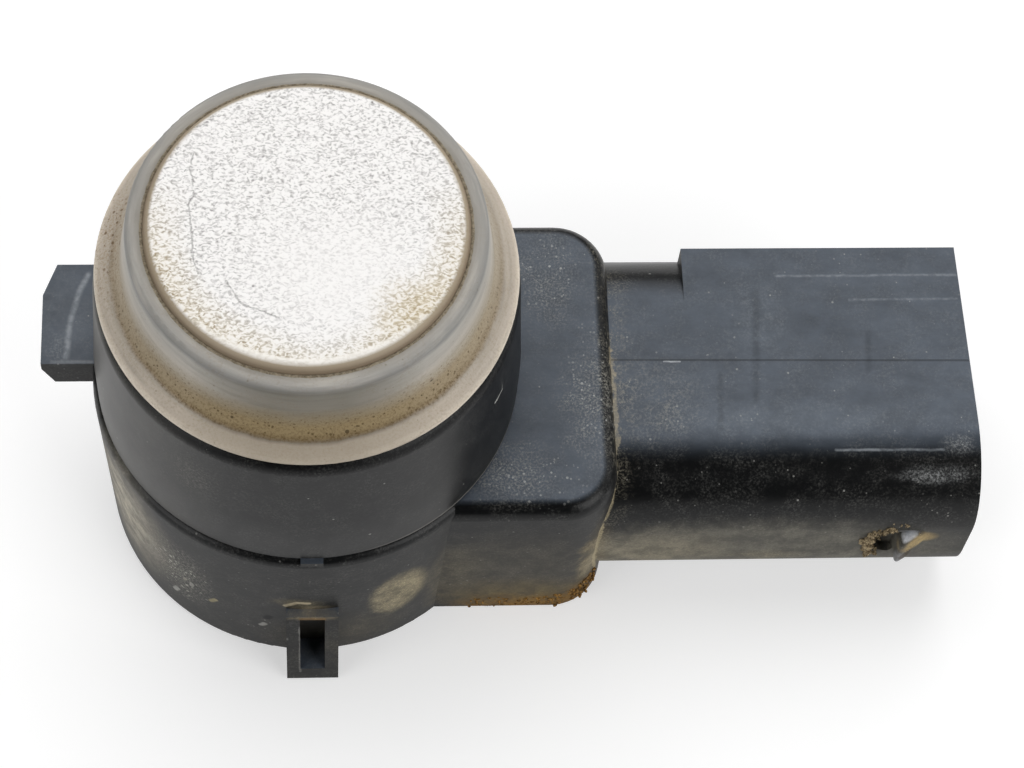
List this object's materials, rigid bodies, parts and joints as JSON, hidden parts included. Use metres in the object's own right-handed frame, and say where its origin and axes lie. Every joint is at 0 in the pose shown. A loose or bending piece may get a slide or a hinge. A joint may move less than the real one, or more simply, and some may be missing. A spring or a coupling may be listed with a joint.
{
  "type": "parking_sensor",
  "caption": "Worn ultrasonic parking sensor: black plastic housing with a round barrel, silver membrane in a grey silicone ring, and a side connector socket",
  "frame": {"origin": "on the barrel's axis, in the plane of the housing's foot", "axes": "+Z along the barrel out of the sensing face, +X out of the connector socket, +Y to the barrel's side"},
  "size_m": [0.049, 0.025, 0.0284],
  "materials": {
    "black_plastic": "moulded, dusty and scratched",
    "collar_plastic": "smooth moulded",
    "grey_silicone": "moulded silicone with tan dust",
    "silver_paint": "pale silver paint, fine fleck, worn",
    "piezo_ceramic": "fired, silvered",
    "foam": "open-cell foam",
    "potting": "cast silicone",
    "copper_wire": "enamelled copper",
    "terminal_metal": "tinned",
    "board_laminate": "solder mask",
    "chip_resin": "moulded resin",
    "bobbin_plastic": "moulded",
    "ferrite": "pressed ferrite",
    "capacitor_resin": "moulded resin",
    "capacitor_ceramic": "fired"
  },
  "bodies": {
    "root": {"housing": "black_plastic", "retaining_ring": "collar_plastic", "decoupling_ring": "grey_silicone", "transducer_pot": "silver_paint", "piezo_disc": "piezo_ceramic", "damping_foam": "foam", "pot_filler": "potting", "contact_carrier": "collar_plastic", "signal_lead": "copper_wire", "ground_lead": "copper_wire", "supply_pin": "terminal_metal", "data_pin": "terminal_metal", "ground_pin": "terminal_metal", "circuit_board": "board_laminate", "driver_chip": "chip_resin", "transformer_bobbin": "bobbin_plastic", "transformer_winding": "copper_wire", "transformer_core": "ferrite", "storage_capacitor": "capacitor_resin", "protection_diode": "chip_resin", "filter_capacitors": "capacitor_ceramic", "bias_resistors": "chip_resin", "rear_cover": "collar_plastic"}
  },
  "joints": []
}
